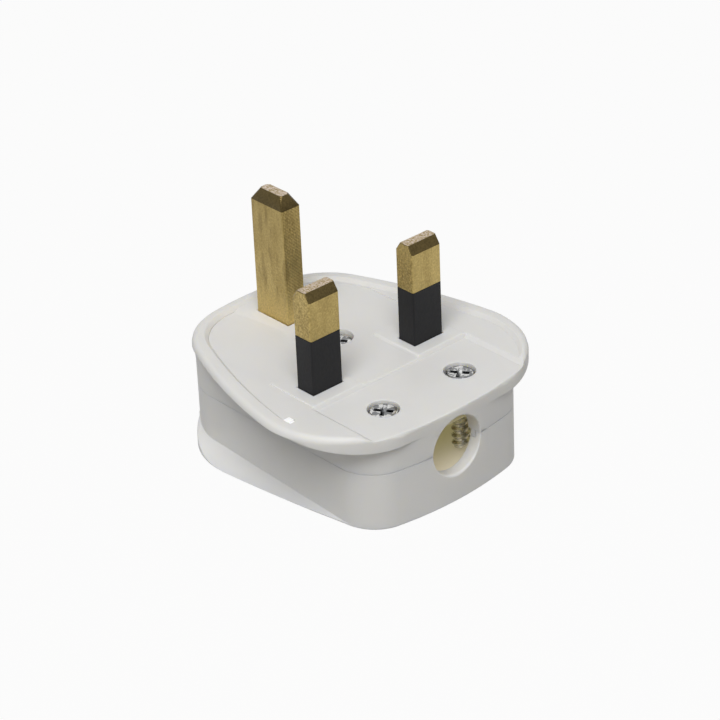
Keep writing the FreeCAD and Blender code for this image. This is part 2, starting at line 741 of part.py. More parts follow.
def clamp_screws():
    return Part.makeCompound([face_screw(x, CLAMP_Y, CLAMP_SCREW_LENGTH) for x in (-CLAMP_X, CLAMP_X)])


NODES = {
    "base": base,
    "cover": cover,
    "earth_pin": earth_pin,
    "line_pin": line_pin,
    "neutral_pin": neutral_pin,
    "line_pin_sleeve": lambda: sleeve(-PIN_X),
    "neutral_pin_sleeve": lambda: sleeve(PIN_X),
    "cover_screw": lambda: face_screw(COVER_SCREW_X, COVER_SCREW_Y, COVER_SCREW_LENGTH),
    "cord_clamp_screws": clamp_screws,
    "cord_clamp_bar": clamp_bar,
    "fuse_tube": fuse_tube,
    "fuse_cap_front": lambda: fuse_cap(FUSE_FRONT, 1),
    "fuse_cap_rear": lambda: fuse_cap(FUSE_BACK, -1),
    "fuse_clip_front": lambda: clip(FRONT_CLIP_Y),
    "fuse_clip_rear": rear_clip,
    "line_terminal": line_terminal,
    "terminal_screws": terminal_screws,
}

os.makedirs("parts", exist_ok=True)
for name, make in NODES.items():
    make().exportStep("parts/" + name + ".step")
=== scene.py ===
"""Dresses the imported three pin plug: housing, pins, sleeves, screws, inner fittings and stage."""

import math

import bmesh
import bpy
from bpy.props import FloatProperty, FloatVectorProperty, IntProperty, PointerProperty
from mathutils import Matrix, Vector


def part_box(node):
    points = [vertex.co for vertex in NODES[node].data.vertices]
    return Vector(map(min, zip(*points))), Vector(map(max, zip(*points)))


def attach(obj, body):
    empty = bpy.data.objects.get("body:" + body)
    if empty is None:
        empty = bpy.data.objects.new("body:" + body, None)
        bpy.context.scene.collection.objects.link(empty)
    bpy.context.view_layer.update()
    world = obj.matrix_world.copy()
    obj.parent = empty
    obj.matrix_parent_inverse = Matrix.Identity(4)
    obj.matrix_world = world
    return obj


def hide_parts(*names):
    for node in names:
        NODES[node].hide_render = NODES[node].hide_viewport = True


bl_info = {
    "name": "Three Pin Plug",
    "version": (1, 0, 0),
    "blender": (4, 5, 0),
    "location": "3D View > Sidebar > Plug",
    "description": "Rewireable fused mains plug on a pale studio floor",
    "category": "Object",
}

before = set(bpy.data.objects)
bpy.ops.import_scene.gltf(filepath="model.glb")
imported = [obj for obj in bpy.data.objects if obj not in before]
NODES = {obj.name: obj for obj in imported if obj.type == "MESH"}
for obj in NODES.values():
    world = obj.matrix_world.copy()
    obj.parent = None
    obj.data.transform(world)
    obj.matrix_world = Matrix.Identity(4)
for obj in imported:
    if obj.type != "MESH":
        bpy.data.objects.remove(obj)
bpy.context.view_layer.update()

MM = 0.001
BASE_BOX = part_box("base")
COVER_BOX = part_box("cover")

# Mesh clean-up and creases
MERGE = 0.002 * MM
FLAT_ANGLE = math.radians(0.6)
SHARP_ANGLE = math.radians(42)
STEP_ANGLE = math.radians(20)
LEVEL = 0.999
OUTWARD = 0.3

# Levels and places on the housing
FACE_LEVEL = -1.0 * MM
PARTING = COVER_BOX[1].z
FOOT_LEVEL = COVER_BOX[0].z + 0.8 * MM
BODY_MIDDLE = 5 * MM

# Front wall: where the flange and the waist stand, the radii of their bows and the reach of the chin
LIP_LEVEL = -0.7 * MM
WAIST_FRONT = COVER_BOX[0].y
WAIST_ARC = 61.55 * MM
FLANGE_FRONT = BASE_BOX[0].y
FLANGE_ARC = 124.9 * MM
CHIN_FULL = 7.5 * MM
CHIN_END = 11.9 * MM
CHIN_FOOT = -3.55 * MM
CHIN_TUCK = 0.2 * MM
CHIN_MERGE = 0.03 * MM
CHIN_FLAT = 0.003 * MM

# Cord hole
CORD_MOUTH = 5.85 * MM
CORD_WALL = -14 * MM
CORD_CLEAR = 7.5 * MM
CORD_ROUND = 0.6 * MM

# Hollow inside the mouldings: axis, start and end of a change, and the mask before and after it
HOLLOW_BLUR = 0.1 * MM
HOLLOW_GATES = (
    ("Y", -17.0 * MM, -16.9 * MM, 0, 1),
    ("Y", 24.0 * MM, 24.1 * MM, 1, 0),
    ("Z", -2.95 * MM, -2.9 * MM, 1, 0),
    ("Z", -16.6 * MM, -16.5 * MM, 0, 1),
)
GLOW_DEPTH = (-15.5 * MM, -5 * MM)
GLOW_FLOOR = (-15 * MM, -12 * MM)
GLOW_CEILING = (-9 * MM, -6 * MM)

# Pip that the mould left: axis, middle and reach
NUB_PLACE = (("X", -22.2 * MM, 0.6 * MM), ("Y", -4.8 * MM, 0.7 * MM), ("Z", 0.4 * MM, 0.6 * MM))
NUB_BLUR = 0.15 * MM
# Faint glow of the pip: a painted highlight.
NUB_HIGHLIGHT_GLOW = (0.06, 0.06, 0.06)
NO_GLOW = (0, 0, 0)

# Plastic and sleeves: tints of the grain, and the stretch of a grain that changes the roughness
PLASTIC_SHADE = 0.965
SLEEVE_LIGHT = 1.5
GRAIN_SPAN = (0.2, 0.8)

# Brass: normals that tell its faces apart, tints, and the share of each mark on wide and narrow faces
NARROW_FACE = (0.6, 0.9)
CHAMFER_TILT = (0.25, 0.45)
END_TILT = (0.93, 0.98)
BRASS_PALE = 1.45
BRASS_DARK = 0.45
TIP_LIGHT = 1.4
LINE_SHARE = 0.35
GLINT_SHARE = (0.3, 0.6)
PIT_SHARE = (0.3, 0.55)
EARTH_PIT_SHARE = (0.3, 0.25)
END_ROUGHNESS = 0.15
GRIT_RELIEF = 1.5

# Earth pin: where its marks change along its height, and how much of each shows
FOOT_HEIGHT = (2.0 * MM, 7.0 * MM)
FOOT_SHARE = 0.8
UPPER_HEIGHT = (7.0 * MM, 17.0 * MM)
UPPER_SHARE = 0.45
STRIPE_SPAN = (-0.5, 0.8)
STRIPE_SHARE = 0.28
STAIN_SPAN = (0.45, 0.85)
STAIN_SHARE = 0.35

# Steel: the level over which a screw counts as head, and the painted shade and dark reflections on its
# flanks, on patches of the head and on undersides
HEAD_LEVEL = (-3.0 * MM, -2.7 * MM)
STEEL_DIM = 0.86
STEEP_TILT = (0.35, 0.9)
TURN_SPAN = (-0.5, 0.3)
TURN_SHARE = (0.25, 1)
REFLECTION_SPAN = (0.35, 0.65)
REFLECTION_SHARE = 0.75
UNDER_TILT = (-0.5, 0.1)
UNDER_SHARE = 0.55

# Screws: a thread's profile as shares of its depth and pitch, and a box that holds two heads, in radii
DOME_SEGMENTS = 6
RECESS_OVER = 0.1 * MM
RECESS_TAPER = 0.55
RECESS_TURN = math.radians(35)
THREAD_PROFILE = ((0, 0), (0, 0.3), (1, 0.58), (1, 0.72), (0, 1))
PAIR_SPAN = 3

# Stage: sizes and places in metres, and the sensor's width in millimetres
FLOOR_RADIUS = 1.5
FLOOR_SIDES = 64
KEY_SIZE = 0.6
KEY_PLACE = (-0.37, -0.31, 0.76)
SENSOR_WIDTH = 36

BODY = "root"

INNER_BRASS = ("fuse_clip_front", "fuse_clip_rear", "line_terminal")
INNER_PLATED = ("fuse_cap_front", "fuse_cap_rear", "terminal_screws")
FACE_SCREWS = ("cover_screw", "cord_clamp_screws")


# Settings

def colour(name, description, default):
    return FloatVectorProperty(
        name=name, description=description, subtype="COLOR", size=3, min=0, max=1, default=default
    )


def length(name, description, default):
    return FloatProperty(
        name=name, description=description, unit="LENGTH", precision=5, min=0, default=default
    )


class HousingSettings(bpy.types.PropertyGroup):
    """Look of the two mouldings."""

    plastic: colour("Plastic", "Colour of the moulded base and cover", (0.71, 0.705, 0.69))
    # Warmer colour of the hollow inside: painted light, standing in for warm light that passes through
    # the walls.
    inside: colour("Inside", "Colour of the mouldings' painted_warm_light inside", (0.76, 0.71, 0.56))
    near_glow: colour("Near glow", "Light that enters through the cord hole", (0.26, 0.235, 0.185))
    far_glow: colour("Far glow", "Light that enters through the walls", (0.14, 0.128, 0.062))
    # Near white colour of the pip, brighter than the plastic: a painted highlight.
    nub_highlight: colour("Nub", "Colour of the pip that the mould left on the pin face", (0.98, 0.98, 0.98))
    edge: length("Edge rounding", "Radius of the moulded edges", 0.14 * MM)
    cavity_half: length("Cavity half width", "Half width of the hollow inside", 15.4 * MM)


class PinSettings(bpy.types.PropertyGroup):
    """Look of the pins and their sleeves."""

    brass: colour("Brass", "Colour of the clean brass", (0.44, 0.335, 0.13))
    dull: colour("Dull brass", "Colour of the dulled patches", (0.29, 0.215, 0.08))
    # Near black brown of the tip chamfers: a painted dark reflection.
    tip: colour("Tip", "Colour of the reflection_darkened tip chamfers", (0.075, 0.055, 0.022))
    stain: colour("Stain", "Colour of the brown stains on the earth pin", (0.13, 0.085, 0.03))
    # Brighter brass towards the foot of the earth pin.
    foot: colour("Foot", "Colour of the brighter brass at the earth pin's foot", (0.68, 0.52, 0.21))
    sheared: colour("Sheared end", "Colour of the rough sheared ends", (0.62, 0.53, 0.46))
    hatch: length("Hatch", "Distance between the tool marks on the earth pin's narrow faces", 0.6 * MM)
    sleeve: colour("Sleeve", "Colour of the insulating sleeves", (0.009, 0.009, 0.010))
    edge: length("Edge rounding", "Radius of the pins' edges", 0.09 * MM)


class ScrewSettings(bpy.types.PropertyGroup):
    """Shape and look of the screws in the pin face."""

    steel: colour("Steel", "Colour of the plated steel", (0.70, 0.70, 0.69))
    # Dark colour of the heads' steep flanks, recesses, head patches and thread undersides: painted shade
    # and dark reflection.
    painted_shade_and_reflection: colour("Flanks", "Colour of the heads' steep flanks and recesses", (0.05, 0.055, 0.065))
    head_height: length("Head height", "Height of the head over its seat", 1.6 * MM)
    dome: length("Dome", "Height of the rounded part of the head", 0.4 * MM)
    shank_radius: length("Shank radius", "Outer radius of the thread", 1.6 * MM)
    point: length("Point", "Length of the pointed end", 0.25 * MM)
    recess_span: length("Recess span", "Length of the cross recess", 3.4 * MM)
    recess_width: length("Recess width", "Width of the cross recess", 0.8 * MM)
    recess_depth: length("Recess depth", "Depth of the cross recess", 1.1 * MM)
    pitch: length("Thread pitch", "Distance between two threads", 1.35 * MM)
    thread_depth: length("Thread depth", "Height of the thread", 0.42 * MM)
    steps: IntProperty(name="Steps", description="Sides of one turn", min=12, default=40)


class StageSettings(bpy.types.PropertyGroup):
    """Floor, light and camera."""

    floor: colour("Floor", "Colour of the floor", (0.38, 0.373, 0.355))
    whiteness: FloatProperty(
        name="Whiteness", description="Share of white seen on the floor", min=0, max=1, default=0.95
    )
    ambient: FloatProperty(
        name="Ambient", description="Strength of the light from all round", min=0, default=0.30
    )
    key_power: FloatProperty(
        name="Key light", description="Power of the large soft light", min=0, unit="POWER", default=6.75
    )
    lens: FloatProperty(
        name="Lens", description="Focal length for the sensor", min=1, unit="CAMERA", default=145.04
    )
    azimuth: FloatProperty(
        name="Azimuth", description="Turn of the camera round the plug, in degrees", default=-41.1
    )
    elevation: FloatProperty(
        name="Elevation", description="Height of the camera over the floor, in degrees", default=29.84
    )
    roll: FloatProperty(name="Roll", description="Tilt of the camera, in degrees", default=-2.53)
    distance: length("Distance", "Distance of the camera from the pin face", 472.66 * MM)
    aim_right: FloatProperty(
        name="Aim right", description="Shift of the view to the right", unit="LENGTH", default=1.81 * MM
    )
    aim_up: FloatProperty(
        name="Aim up", description="Shift of the view upwards", unit="LENGTH", default=0.14 * MM
    )


# Shader groups and materials

def new_group(name, inputs, outputs):
    """Empty shader node group with the named sockets, and its input and output nodes."""
    tree = bpy.data.node_groups.new(name, "ShaderNodeTree")
    for label, kind in inputs:
        tree.interface.new_socket(label, in_out="INPUT", socket_type=kind)
    for label, kind in outputs:
        tree.interface.new_socket(label, in_out="OUTPUT", socket_type=kind)
    return tree, tree.nodes.new("NodeGroupInput"), tree.nodes.new("NodeGroupOutput")


def grain_group():
    """Noise on object coordinates that can be stretched along any axis, put out as a mask."""
    tree, entry, leave = new_group(
        "stretched_grain",
        [("Scale", "NodeSocketVector"), ("Detail", "NodeSocketFloat"), ("Contrast", "NodeSocketFloat")],
        [("Grain", "NodeSocketFloat")],
    )
    place = tree.nodes.new("ShaderNodeTexCoord")
    stretch = tree.nodes.new("ShaderNodeVectorMath")
    stretch.operation = "MULTIPLY"
    noise = tree.nodes.new("ShaderNodeTexNoise")
    noise.inputs["Scale"].default_value = 1
    centre = tree.nodes.new("ShaderNodeMath")
    centre.operation = "SUBTRACT"
    centre.inputs[1].default_value = 0.5
    spread = tree.nodes.new("ShaderNodeMath")
    spread.operation = "MULTIPLY_ADD"
    spread.use_clamp = True
    spread.inputs[2].default_value = 0.5
    link = tree.links.new
    link(place.outputs["Object"], stretch.inputs[0])
    link(entry.outputs["Scale"], stretch.inputs[1])
    link(stretch.outputs["Vector"], noise.inputs["Vector"])
    link(entry.outputs["Detail"], noise.inputs["Detail"])
    link(noise.outputs["Fac"], centre.inputs[0])
    link(centre.outputs["Value"], spread.inputs[0])
    link(entry.outputs["Contrast"], spread.inputs[1])
    link(spread.outputs["Value"], leave.inputs["Grain"])
    return tree


class Finish:
    """A material under construction: its Principled shader and short ways to feed it."""

    def __init__(self, name, **values):
        self.material = bpy.data.materials.new(name)
        self.material.use_nodes = True
        self.tree = self.material.node_tree
        self.tree.nodes.clear()
        output = self.tree.nodes.new("ShaderNodeOutputMaterial")
        self.shader = self.tree.nodes.new("ShaderNodeBsdfPrincipled")
        self.link(self.shader.outputs["BSDF"], output.inputs["Surface"])
        for socket, value in values.items():
            self.shader.inputs[socket.replace("_", " ")].default_value = value

    def link(self, source, target):
        self.tree.links.new(source, target)

    def grain(self, scale, detail=2.0, contrast=1.0):
        """Stretched noise, with its scale in cycles per metre along each axis."""
        node = self.tree.nodes.new("ShaderNodeGroup")
        node.node_tree = bpy.data.node_groups["stretched_grain"]
        node.inputs["Scale"].default_value = scale
        node.inputs["Detail"].default_value = detail
        node.inputs["Contrast"].default_value = contrast
        return node.outputs["Grain"]

    def mix(self, mask, first, second):
        """Colour between two colours or colour sockets."""
        node = self.tree.nodes.new("ShaderNodeMix")
        node.data_type = "RGBA"
        for socket, value in ((node.inputs[0], mask), (node.inputs[6], first), (node.inputs[7], second)):
            if isinstance(value, bpy.types.NodeSocket):
                self.link(value, socket)
            elif socket.type == "RGBA":
                socket.default_value = (*value, 1)
            else:
                socket.default_value = value
        return node.outputs[2]

    def ramp(self, value, low, high, to_low=0.0, to_high=1.0):
        """Value carried from one range to another."""
        node = self.tree.nodes.new("ShaderNodeMapRange")
        node.interpolation_type = "SMOOTHSTEP"
        self.link(value, node.inputs["Value"])
        limits = {"From Min": low, "From Max": high, "To Min": to_low, "To Max": to_high}
        for label, number in limits.items():
            node.inputs[label].default_value = number
        return node.outputs["Result"]

    def maths(self, operation, first, second=0.0):
        node = self.tree.nodes.new("ShaderNodeMath")
        node.operation = operation
        for socket, value in zip(node.inputs, (first, second)):
            if isinstance(value, bpy.types.NodeSocket):
                self.link(value, socket)
            else:
                socket.default_value = value
        return node.outputs[0]

    def rough(self, grain, low, high):
        """Roughness that a grain carries from one value to another."""
        return self.ramp(grain, *GRAIN_SPAN, low, high)

    def times(self, first, second):
        return self.maths("MULTIPLY", first, second)

    def axis(self, source, label):
        """One coordinate of an object position or a surface normal."""
        node = self.tree.nodes.new("ShaderNodeSeparateXYZ")
        self.link(source, node.inputs[0])
        return node.outputs[label]

    def position(self):
        return self.tree.nodes.new("ShaderNodeTexCoord").outputs["Object"]

    def normal(self, kind="True Normal"):
        return self.tree.nodes.new("ShaderNodeNewGeometry").outputs[kind]

    def bump(self, height, depth, strength=1.0):
        """Relief on the surface, with its depth in metres."""
        node = self.tree.nodes.new("ShaderNodeBump")
        node.inputs["Distance"].default_value = depth
        node.inputs["Strength"].default_value = strength
        self.link(height, node.inputs["Height"])
        self.link(node.outputs["Normal"], self.shader.inputs["Normal"])

    def feed(self, socket, value):
        self.link(value, self.shader.inputs[socket])


def scaled(tint, factor):
    """A colour made darker or lighter."""
    return tuple(c * factor for c in tint)


def plastic_finish(settings):
    """Satin white moulding with painted light: a warmer colour and a faint glow on the inside stand in
    for light through the walls and cord hole, and a near white, faintly glowing pip is a painted
    highlight on the pin face.
    """
    finish = Finish(
        "white_moulding",
        IOR=1.5,
        Specular_IOR_Level=0.35,
        Subsurface_Weight=0.35,
        Subsurface_Scale=2.5 * MM,
        Emission_Strength=1.0,
    )
    finish.shader.inputs["Subsurface Radius"].default_value = (1.0, 0.85, 0.5)
    broad = finish.grain(scale=(110, 110, 110), detail=3, contrast=1.6)
    fine = finish.grain(scale=(5200, 5200, 5200), detail=2, contrast=1.2)
    skin = finish.mix(broad, settings.plastic, scaled(settings.plastic, PLASTIC_SHADE))
    place = finish.position()
    across = finish.maths("ABSOLUTE", finish.axis(place, "X"))
    inside = finish.ramp(across, settings.cavity_half, settings.cavity_half + HOLLOW_BLUR, 1, 0)
    for label, low, high, before, after in HOLLOW_GATES:
        gate = finish.ramp(finish.axis(place, label), low, high, before, after)
        inside = finish.times(inside, gate)
    # Painted highlight: the pip on the pin face turns near white.
    nub_highlight = 1.0
    for label, middle, reach in NUB_PLACE:
        away = finish.maths("SUBTRACT", finish.axis(place, label), middle)
        near = finish.ramp(finish.maths("ABSOLUTE", away), reach, reach + NUB_BLUR, 1, 0)
        nub_highlight = finish.times(near, nub_highlight)
    skin = finish.mix(nub_highlight, skin, settings.nub_highlight)
    # Painted light: the hollow inside takes the warmer colour, standing in for warm light through the
    # walls.
    finish.feed("Base Color", finish.mix(inside, skin, settings.inside))
    depth = finish.ramp(finish.axis(place, "Y"), *GLOW_DEPTH)
    height = finish.ramp(finish.axis(place, "Z"), *GLOW_FLOOR)
    depth = finish.maths("MAXIMUM", depth, height)
    glow = finish.mix(depth, settings.near_glow, settings.far_glow)
    ceiling = finish.ramp(finish.axis(place, "Z"), *GLOW_CEILING)
    glow = finish.mix(ceiling, glow, NO_GLOW)
    # Outside the hollow only the pip glows, a painted highlight.
    glow = finish.mix(inside, finish.mix(nub_highlight, NO_GLOW, NUB_HIGHLIGHT_GLOW), glow)
    finish.feed("Emission Color", glow)
    finish.feed("Roughness", finish.rough(fine, low=0.42, high=0.54))
    finish.bump(fine, depth=0.004 * MM, strength=0.5)
    return finish.material


def brass_finish(name, settings, narrow, hatched=False):
    """Drawn brass with dull patches, pitted narrow faces, sheared ends, and tip chamfers painted near
    black brown as a dark reflection.
    """
    finish = Finish(name, Metallic=1.0)
    patches = finish.grain(scale=(420, 420, 130), detail=4, contrast=2.6)
    lines = finish.grain(scale=(7000, 7000, 420), detail=2, contrast=1.7)
    grit = finish.grain(scale=(3000, 3000, 3000), detail=3, contrast=3.4)
    glint = finish.grain(scale=(2900, 2900, 2600), detail=2, contrast=4.5)
    normal = finish.normal()
    side = finish.ramp(finish.maths("ABSOLUTE", finish.axis(normal, narrow)), *NARROW_FACE)
    up = finish.axis(normal, "Z")
    chamfer = finish.ramp(up, *CHAMFER_TILT)
    end = finish.ramp(up, *END_TILT)
    pale = scaled(settings.brass, BRASS_PALE)
    dark = scaled(settings.dull, BRASS_DARK)
    tone = finish.mix(patches, settings.brass, settings.dull)
    tone = finish.mix(finish.times(lines, LINE_SHARE), tone, pale)
    tone = finish.mix(finish.times(glint, finish.ramp(side, 0, 1, *GLINT_SHARE)), tone, pale)
    pitted = PIT_SHARE
    if hatched:
        pitted = EARTH_PIT_SHARE
        tone = earth_marks(finish, settings, tone, side, dark)
    pits = finish.times(grit, finish.ramp(side, 0, 1, *pitted))
    tone = finish.mix(pits, tone, dark)
    # Painted reflection: the tip chamfers turn near black brown, with lighter grit speckles.
    painted_dark_tip = finish.mix(grit, settings.tip, scaled(settings.tip, TIP_LIGHT))
    tone = finish.mix(chamfer, tone, painted_dark_tip)
    tone = finish.mix(end, tone, finish.mix(grit, settings.sheared, settings.dull))
    finish.feed("Base Color", tone)
    rough = finish.rough(patches, low=0.34, high=0.48)
    finish.feed("Roughness", finish.maths("ADD", rough, finish.times(end, END_ROUGHNESS)))
    relief = finish.maths("ADD", lines, finish.times(grit, GRIT_RELIEF))
    finish.bump(relief, depth=0.014 * MM, strength=0.6)
    return finish.material


def earth_marks(finish, settings, tone, side, dark):
    """Adds slanting tool marks, a duller upper part, stains and a bright foot to a brass tone."""
    place = finish.position()
    height = finish.axis(place, "Z")
    slant = finish.maths("ADD", finish.axis(place, "X"), height)
    stripes = finish.maths("SINE", finish.times(slant, 2 * math.pi / settings.hatch))
    stripes = finish.times(finish.ramp(stripes, *STRIPE_SPAN), side)
    tone = finish.mix(finish.times(stripes, STRIPE_SHARE), tone, dark)
    wide = finish.maths("SUBTRACT", 1.0, side)
    upper = finish.times(finish.ramp(height, *UPPER_HEIGHT, to_high=UPPER_SHARE), wide)
    tone = finish.mix(upper, tone, settings.dull)
    blotches = finish.grain(scale=(900, 900, 190), detail=4, contrast=2.4)
    stain = finish.ramp(blotches, *STAIN_SPAN)
    tone = finish.mix(finish.times(stain, STAIN_SHARE), tone, settings.stain)
    foot = finish.ramp(height, *FOOT_HEIGHT, to_low=FOOT_SHARE, to_high=0)
    return finish.mix(foot, tone, settings.foot)


def sleeve_finish(settings):
    """Matt black insulation."""
    finish = Finish("black_sleeve", Specular_IOR_Level=0.25)
    fine = finish.grain(scale=(4200, 4200, 1500), detail=3, contrast=1.4)
    lighter = scaled(settings.sleeve, SLEEVE_LIGHT)
    finish.feed("Base Color", finish.mix(fine, settings.sleeve, lighter))
    finish.feed("Roughness", finish.rough(fine, low=0.5, high=0.66))
    finish.bump(fine, depth=0.006 * MM, strength=0.5)
    return finish.material


def steel_finish(settings):
    """Bright plated steel with faint marks, and painted shade and dark reflections on steep flanks, on
    patches of the head and on undersides.
    """
    finish = Finish("plated_steel", Metallic=1.0)
    marks = finish.grain(scale=(1900, 1900, 1900), detail=3, contrast=1.8)
    dim = scaled(settings.steel, STEEL_DIM)
    normal = finish.normal("Normal")
    up = finish.axis(normal, "Z")
    head = finish.ramp(finish.axis(finish.position(), "Z"), *HEAD_LEVEL)
    # Painted shade and dark reflection on the steep faces of the head, darker towards one side.
    steep = finish.ramp(up, *STEEP_TILT, to_low=1, to_high=0)
    turned = finish.maths("SUBTRACT", finish.axis(normal, "X"), finish.axis(normal, "Y"))
    shaded = finish.ramp(turned, *TURN_SPAN, *TURN_SHARE)
    painted_shade_and_reflection = finish.times(finish.times(steep, head), shaded)
    # Painted reflection: dark patches on the head's top.
    reflection_patches = finish.grain(scale=(900, 900, 900), detail=2, contrast=3.0)
    painted_reflection = finish.ramp(reflection_patches, *REFLECTION_SPAN)
    top = finish.times(finish.times(painted_reflection, head), REFLECTION_SHARE)
    # Painted shade on the undersides of the thread.
    under_shade = finish.ramp(up, *UNDER_TILT, to_low=UNDER_SHARE, to_high=0)
    painted_shade_and_reflection = finish.maths("MAXIMUM", finish.maths("MAXIMUM", painted_shade_and_reflection, top), under_shade)
    finish.feed("Base Color", finish.mix(painted_shade_and_reflection, finish.mix(marks, settings.steel, dim), settings.painted_shade_and_reflection))
    finish.feed("Roughness", finish.rough(marks, low=0.14, high=0.3))
    finish.bump(marks, depth=0.006 * MM, strength=0.4)
    return finish.material


def ceramic_finish():
    """Unglazed tube of the fuse."""
    finish = Finish("fuse_ceramic", IOR=1.5)
    speckle = finish.grain(scale=(2600, 2600, 2600), detail=3, contrast=1.5)
    finish.feed("Base Color", finish.mix(speckle, (0.74, 0.71, 0.64), (0.64, 0.60, 0.52)))
    finish.feed("Roughness", finish.rough(speckle, low=0.6, high=0.75))
    finish.bump(speckle, depth=0.01 * MM, strength=0.5)
    return finish.material


# Mesh tools

def creased(edge):
    """Whether an edge looks sharp: one between a level face and a slope does so sooner."""
    level = max((face.normal.z for face in edge.link_faces), default=0) > LEVEL
    return edge.calc_face_angle(math.pi) > (STEP_ANGLE if level else SHARP_ANGLE)


def piece(name, bm, material):
    """New object of the plug from a finished bmesh, in place and riding on the body."""
    for face in bm.faces:
        face.smooth = True
    for edge in bm.edges:
        edge.smooth = not creased(edge)
    mesh = bpy.data.meshes.new(name)
    bm.to_mesh(mesh)
    bm.free()
    mesh.materials.append(material)
    obj = bpy.data.objects.new(name, mesh)
    bpy.context.scene.collection.objects.link(obj)
    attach(obj, BODY)
    return obj


def even_normals(obj):
    """Keeps large flat faces flat next to small round edges."""
    modifier = obj.modifiers.new("even_normals", "WEIGHTED_NORMAL")
    modifier.keep_sharp = True


def solid_copy(node):
    """A CAD node's surface as one closed mesh, with flat areas joined."""
    bm = bmesh.new()
    bm.from_mesh(NODES[node].data)
    bmesh.ops.remove_doubles(bm, verts=bm.verts, dist=MERGE)
    bmesh.ops.recalc_face_normals(bm, faces=bm.faces)
    bmesh.ops.dissolve_limit(bm, angle_limit=FLAT_ANGLE, verts=bm.verts, edges=bm.edges)
    return bm


def bowed(front, radius, x):
    """Where a bowed front stands at a distance from the middle."""
    return front + radius - math.sqrt(radius ** 2 - x ** 2)


def eased(share):
    """A share from 0 to 1 that starts and ends gently."""
    return share * share * (3 - 2 * share)


def run_out_chin(bm):
    """Brings the base's front wall straight down from the flange to the parting, between its corners."""
    wall = [
        vert
        for vert in bm.verts
        if abs(vert.co.x) < CHIN_END
        and PARTING < vert.co.z < LIP_LEVEL
        and vert.co.y < bowed(WAIST_FRONT, WAIST_ARC, vert.co.x) + CORD_ROUND
    ]
    on_wall = set(wall)
    many_sided = [face for face in bm.faces if len(face.verts) > 4 and not on_wall.isdisjoint(face.verts)]
    bmesh.ops.triangulate(bm, faces=many_sided)
    for vert in wall:
        x, y, z = vert.co
        waist = bowed(WAIST_FRONT, WAIST_ARC, x)
        flange = bowed(FLANGE_FRONT, FLANGE_ARC, x)
        share = eased(min(1, (CHIN_END - abs(x)) / (CHIN_END - CHIN_FULL)))
        if z > CHIN_FOOT and y > flange + CHIN_MERGE and math.hypot(x, z - PARTING) > CORD_MOUTH:
            z -= CHIN_TUCK * share
        straight = (flange - waist) * (z - PARTING) / (LIP_LEVEL - PARTING)
        vert.co.y += share * (straight - min(0, y - waist))
        vert.co.z = z
    bmesh.ops.remove_doubles(bm, verts=wall, dist=CHIN_MERGE)
    bmesh.ops.dissolve_degenerate(bm, dist=CHIN_FLAT, edges=list(bm.edges))
    bmesh.ops.recalc_face_normals(bm, faces=bm.faces)


def sharp_edges(bm, chosen):
    """The sharp outward edges that a test chooses."""
    return [
        edge
        for edge in bm.edges
        if len(edge.link_faces) == 2
        and edge.is_convex
        and edge.calc_face_angle() > SHARP_ANGLE
        and chosen(edge)
    ]


def round_edges(bm, edges, radius, segments=2):
    bmesh.ops.bevel(
        bm,
        geom=edges,
        offset=radius,
        offset_type="OFFSET",
        affect="EDGES",
        segments=segments,
        profile=0.5,
        material=-1,
        clamp_overlap=False,
    )


def on_the_outside(edge):
    """Whether an edge of the housing can be seen from outside, clear of the cord hole."""
    middle = (edge.verts[0].co + edge.verts[1].co) / 2
    if middle.z > FACE_LEVEL:
        return True
    if middle.z < FOOT_LEVEL:
        return False
    if middle.y < CORD_WALL and math.hypot(middle.x, middle.z - PARTING) < CORD_CLEAR:
        return False
    away = Vector((middle.x, middle.y - BODY_MIDDLE, 0)).normalized()
    return any(face.normal.dot(away) > OUTWARD for face in edge.link_faces)


def on_a_pin(edge):
    """Whether an edge of a pin or sleeve stands over the pin face."""
    return min(vert.co.z for vert in edge.verts) > FACE_LEVEL


def carved(bm, cutter):
    """The first solid with the second cut out of it."""
    pair = []
    for name, source in (("blank", bm), ("cutter", cutter)):
        mesh = bpy.data.meshes.new(name)
        source.to_mesh(mesh)
        source.free()
        obj = bpy.data.objects.new(name, mesh)
        bpy.context.scene.collection.objects.link(obj)
        pair.append(obj)
    cut = pair[0].modifiers.new("cut", "BOOLEAN")
    cut.operation = "DIFFERENCE"
    cut.solver = "EXACT"
    cut.object = pair[1]
    result = bmesh.new()
    result.from_object(pair[0], bpy.context.evaluated_depsgraph_get())
    for obj in pair:
        bpy.data.meshes.remove(obj.data)
    return result


